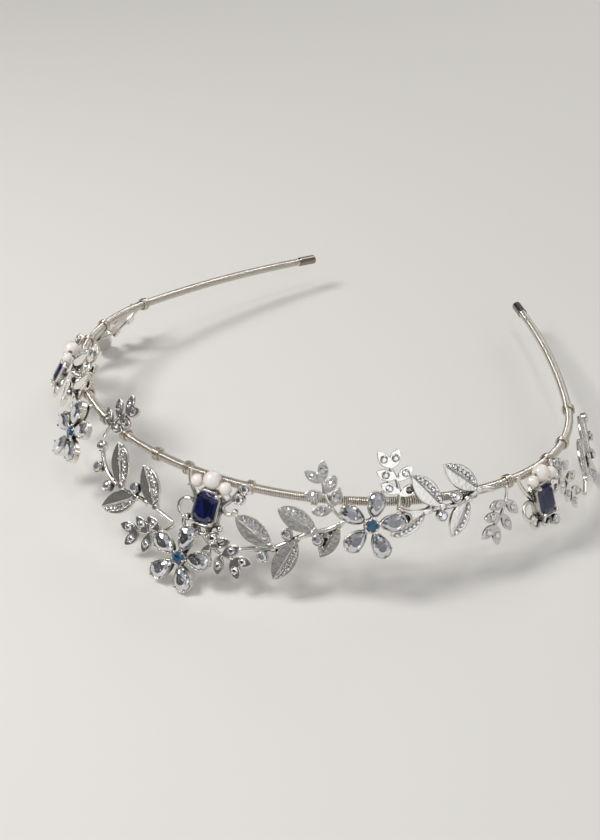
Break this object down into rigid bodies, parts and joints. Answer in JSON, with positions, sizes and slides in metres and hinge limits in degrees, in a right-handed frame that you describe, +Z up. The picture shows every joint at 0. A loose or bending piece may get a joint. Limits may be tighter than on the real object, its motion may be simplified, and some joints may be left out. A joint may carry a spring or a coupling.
{
  "type": "bridal tiara",
  "caption": "Wire-wrapped horseshoe head band dressed with cast leaf branches, pear-stone flowers, claw-set emerald-cut jewels and pearls",
  "frame": {"origin": "bottom centre of the bounding box, on the table the tiara lies on", "axes": "+X to the right of someone facing the front jewel, +Y towards the open ends of the band, +Z up; the tiara lies as laid down in the picture, castings hanging below the band"},
  "size_m": [0.1568, 0.1634, 0.0349],
  "materials": {
    "silver": "antique silver, polished edges over dark recesses",
    "wrap_wire": "champagne silver wire",
    "spring_wire": "drawn",
    "cap_metal": "darkened",
    "binding_wire": "satin",
    "crystal": "clear cut",
    "sapphire": "deep blue cut",
    "teal_stone": "teal blue cut",
    "pearl": "pearl lustre"
  },
  "bodies": {
    "root": {"band_cap_left": "cap_metal", "band_cap_right": "cap_metal", "band_core": "spring_wire", "band_wrap": "wrap_wire", "branch_front_left": "silver", "branch_front_left_stones": "crystal", "branch_front_right": "silver", "branch_front_right_stones": "crystal", "branch_left": "silver", "branch_left_stones": "crystal", "branch_rear_left": "silver", "branch_rear_left_stones": "crystal", "branch_rear_right": "silver", "branch_rear_right_stones": "crystal", "branch_right": "silver", "branch_right_stones": "crystal", "flower_front_heart": "teal_stone", "flower_front_petals": "crystal", "flower_front_setting": "silver", "flower_left_heart": "teal_stone", "flower_left_petals": "crystal", "flower_left_setting": "silver", "flower_right_heart": "teal_stone", "flower_right_petals": "crystal", "flower_right_setting": "silver", "jewel_front_crystals": "crystal", "jewel_front_mount": "silver", "jewel_front_pearl_wire": "silver", "jewel_front_pearls": "pearl", "jewel_front_sapphire": "sapphire", "jewel_left_crystals": "crystal", "jewel_left_mount": "silver", "jewel_left_pearl_wire": "silver", "jewel_left_pearls": "pearl", "jewel_left_sapphire": "sapphire", "jewel_right_crystals": "crystal", "jewel_right_mount": "silver", "jewel_right_pearl_wire": "silver", "jewel_right_pearls": "pearl", "jewel_right_sapphire": "sapphire", "lashings": "binding_wire", "sprig_1": "silver", "sprig_2": "silver", "sprig_3": "silver", "sprig_4": "silver", "sprig_5": "silver", "sprig_6": "silver", "sprig_7": "silver", "sprig_8": "silver", "sprig_9": "silver", "sprig_stones_front": "crystal", "sprig_stones_left": "crystal", "sprig_stones_right": "crystal"}
  },
  "joints": []
}
